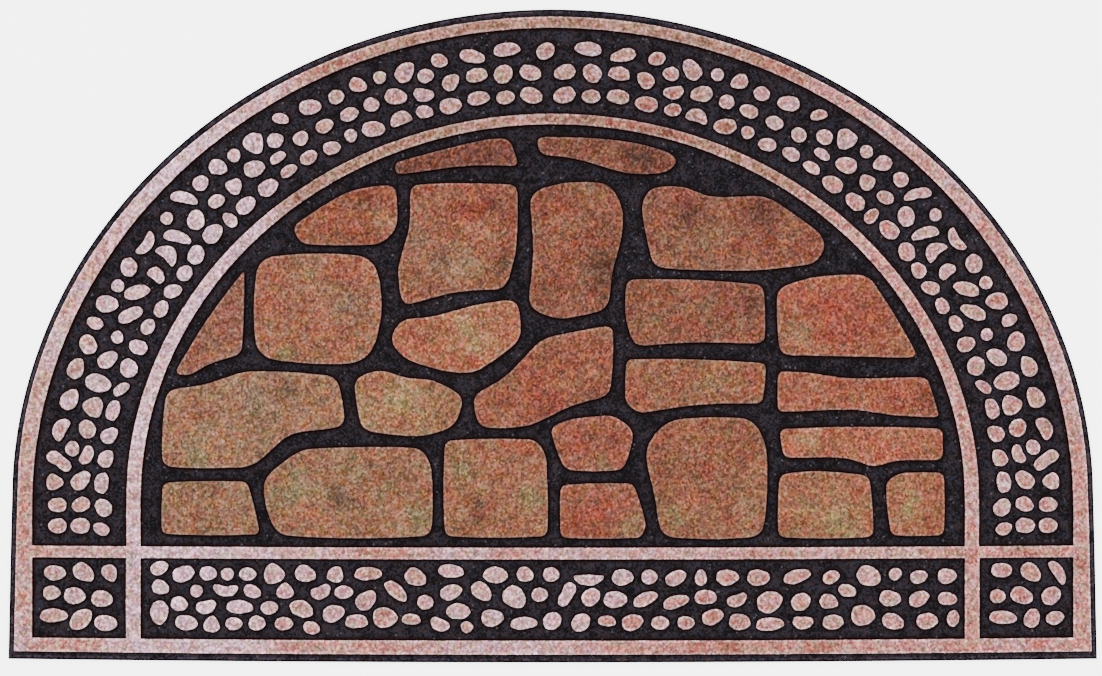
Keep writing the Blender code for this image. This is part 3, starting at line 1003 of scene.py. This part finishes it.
def make_body(bands, flagstones, pebbles, materials):
    """The rubber moulding as one closed mesh."""
    mesh = Mesh()
    outline = underside_outline()
    if area(outline) < 0:
        outline = outline[::-1]
    rings = mesh.rings(smooth(outline, RUBBER_STEP, BAND_CORNER), RUBBER_RIM)
    # The rim's flat strip at SKIRT takes the painted highlight
    for index, (lower, upper) in enumerate(zip(rings, rings[1:])):
        mesh.wall(lower, upper, RIM_HIGHLIGHT if index == SKIRT else RIM)
    filled(mesh, [rings[0]], FIELD, flip=True)
    skirt = np.array([mesh.points[i][:2] for i in rings[-1]])

    # The ground is duller between the flagstones, so around them and along the hole they lie in
    middle = max(bands[1:], key=lambda loop: abs(area(loop)))
    loops, owners, dulls = [], [], []
    for owner, group in enumerate([bands] + [[loop] for loop in flagstones + pebbles]):
        for outline in group:
            loops.append(redrawn(outline, RUBBER_STEP, is_band=len(group) > 1))
            owners.append(owner)
            is_flagstone = FLAGSTONE_AREA < area(outline) < area(bands[0])
            dulls.append(float(outline is middle or is_flagstone))

    # Each wall rises from a strip of ground with painted shade towards its foot, and the walls take
    # the painted shade material; the field fills what the strips leave
    ends = [rings[-1]]
    tops = {}
    for loop, owner, dull, gap in zip(loops, owners, dulls, clearances([*loops, skirt])):
        mesh.dull = dull
        foot = np.minimum(FOOT, FOOT_SHARE * gap)
        width = np.clip((gap - 2 * foot) * STRIP_SHARE, LEAST_STRIP, STRIP)
        rings = mesh.rings(loop, RUBBER_WALL, spread=foot[:, None] / FOOT)
        for lower, upper in zip(rings, rings[1:]):
            mesh.wall(lower, upper, WALLS)
        way = normals(loop) * (foot + width)[:, None]
        moved = loop + way * room(loop, way)[:, None]
        ends.append(mesh.add([(x, y, GROUND) for x, y in moved]))
        mesh.wall(ends[-1], rings[0], FIELD)
        tops.setdefault(owner, []).append(rings[-1])
    for group in tops.values():
        filled(mesh, group, WALLS)
    filled(mesh, ends, FIELD)
    return mesh.object("rubber_moulding", materials)


def pebble_group(loop):
    """The name of the piece that a pebble belongs to."""
    x, y = loop.mean(0)
    side = "left" if x < 0 else "right"
    if y > BASE_STRIP_TOP:
        return "arch_pebbles_" + side
    return ("corner_pebbles_" if abs(x) > POST_X else "foot_pebbles_") + side


def make_pieces():
    """The moulding, and the caps of flock on its bands, flagstones and pebbles."""
    bands, flagstones, pebbles = sorted_outlines()
    chance = random.Random(SEED)
    black = rubber("charcoal rubber", dark=(12, 9, 12), light=(53, 46, 54), specks=0.45, gloss=0.12)
    # Painted shade for the walls of the raised shapes, and a paler strip of rim as a painted
    # highlight
    shade = rubber("wall shade rubber", dark=(13, 2, 3), light=(28, 6, 7))
    rim_highlight = rubber("rim highlight rubber", dark=(27, 21, 27), light=(76, 66, 76), gloss=0.06)
    rim = rubber("rim rubber", dark=(6, 6, 9), light=(16, 15, 20))
    body = make_body(bands, flagstones, pebbles, [black, shade, rim_highlight, rim])

    stone = stone_flock("stone flock")
    band = pale_flock("band flock", rim_highlight_share=0.22, tan_tint=0.40, tan_shade=-0.34)
    pebble = pale_flock("pebble flock", rim_highlight_share=0.42, tan_tint=0.15, tan_shade=-0.20)
    mesh = Mesh()
    mesh.bright, mesh.lean = PALE_BRIGHT, BAND_LEAN
    flock_cap(mesh, bands, BAND_SALT, chance, spots=False)
    caps = [mesh.object("border_bands", [band], BORDER_TINTS)]

    for loop in flagstones:
        middle = loop.mean(0)
        row = min(STONES, key=lambda s: math.dist((s.x, s.y), middle))
        mesh = Mesh()
        mesh.lean, mesh.bright, mesh.dull = row.lean, row.bright, row.dull
        flock_cap(mesh, [loop], chance.uniform(*SALTS), chance)
        caps.append(mesh.object("flagstone_" + row.name, [stone], STONE_TINTS))

    groups = {}
    for loop in pebbles:
        mesh = groups.setdefault(pebble_group(loop), Mesh())
        mesh.lean, mesh.dull = chance.uniform(*PEBBLE_LEANS), chance.uniform(*PEBBLE_DULLS)
        mesh.bright = PALE_BRIGHT
        flock_cap(mesh, [loop], chance.uniform(*SALTS), chance)
    caps += [mesh.object(name, [pebble], BORDER_TINTS) for name, mesh in sorted(groups.items())]
    return body, caps


# The view

CAMERA_HEIGHT = 3.0
VIEW_WIDTH = 0.7702
VIEW_CENTRE = (-0.0012, -0.0014)
SENSOR = 36.0
FARTHEST_SEEN = 20

# The floor is a sheet of paper just under the mat, bright enough to show as white
FLOOR_REACH = 4
FLOOR_GAP = 0.0004
PAPER = 0.9
PAPER_ROUGHNESS = 0.9
PAPER_GLOW = 4.5
SKY_LIGHT = 0.69

Lamp = namedtuple("Lamp", "name place size power")
LAMPS = (
    Lamp("key", (-1.2, 1.4, 2.6), 1.6, 75),
    Lamp("fill", (1.5, -1.2, 2.4), 1.8, 37),
)


def make_floor():
    mesh = bpy.data.meshes.new("floor")
    far = FLOOR_REACH
    corners = [(-far, -far, 0), (far, -far, 0), (far, far, 0), (-far, far, 0)]
    mesh.from_pydata(corners, [], [(0, 1, 2, 3)])
    floor = bpy.data.objects.new("floor", mesh)
    bpy.context.scene.collection.objects.link(floor)
    floor.location.z = LOW.z - FLOOR_GAP
    material = bpy.data.materials.new("white paper")
    material.use_nodes = True
    shader = material.node_tree.nodes["Principled BSDF"]
    shader.inputs["Base Color"].default_value = (PAPER, PAPER, PAPER, 1)
    shader.inputs["Roughness"].default_value = PAPER_ROUGHNESS
    shader.inputs["Emission Color"].default_value = (1, 1, 1, 1)
    shader.inputs["Emission Strength"].default_value = PAPER_GLOW
    mesh.materials.append(material)


def make_camera():
    data = bpy.data.cameras.new("camera")
    data.sensor_width = SENSOR
    data.lens = SENSOR * CAMERA_HEIGHT / VIEW_WIDTH
    data.clip_end = FARTHEST_SEEN
    camera = bpy.data.objects.new("camera", data)
    camera.location = (*VIEW_CENTRE, CAMERA_HEIGHT + HIGH.z)
    bpy.context.scene.collection.objects.link(camera)
    bpy.context.scene.camera = camera


def make_light(lamp):
    data = bpy.data.lights.new(lamp.name, "AREA")
    data.shape, data.size, data.energy = "DISK", lamp.size, lamp.power
    light = bpy.data.objects.new(lamp.name, data)
    light.location = lamp.place
    light.rotation_euler = (-Vector(lamp.place)).to_track_quat("-Z", "Y").to_euler()
    bpy.context.scene.collection.objects.link(light)


def make_world():
    world = bpy.data.worlds.new("studio")
    world.use_nodes = True
    background = world.node_tree.nodes["Background"]
    background.inputs["Color"].default_value = (1, 1, 1, 1)
    background.inputs["Strength"].default_value = SKY_LIGHT
    bpy.context.scene.world = world


def main():
    body, caps = make_pieces()
    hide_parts(NODE)
    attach(body, "root")
    for cap in caps:
        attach(cap, "root")
    flat_area = abs(area(underside_outline()))

    make_floor()
    make_camera()
    make_world()
    for lamp in LAMPS:
        make_light(lamp)


main()
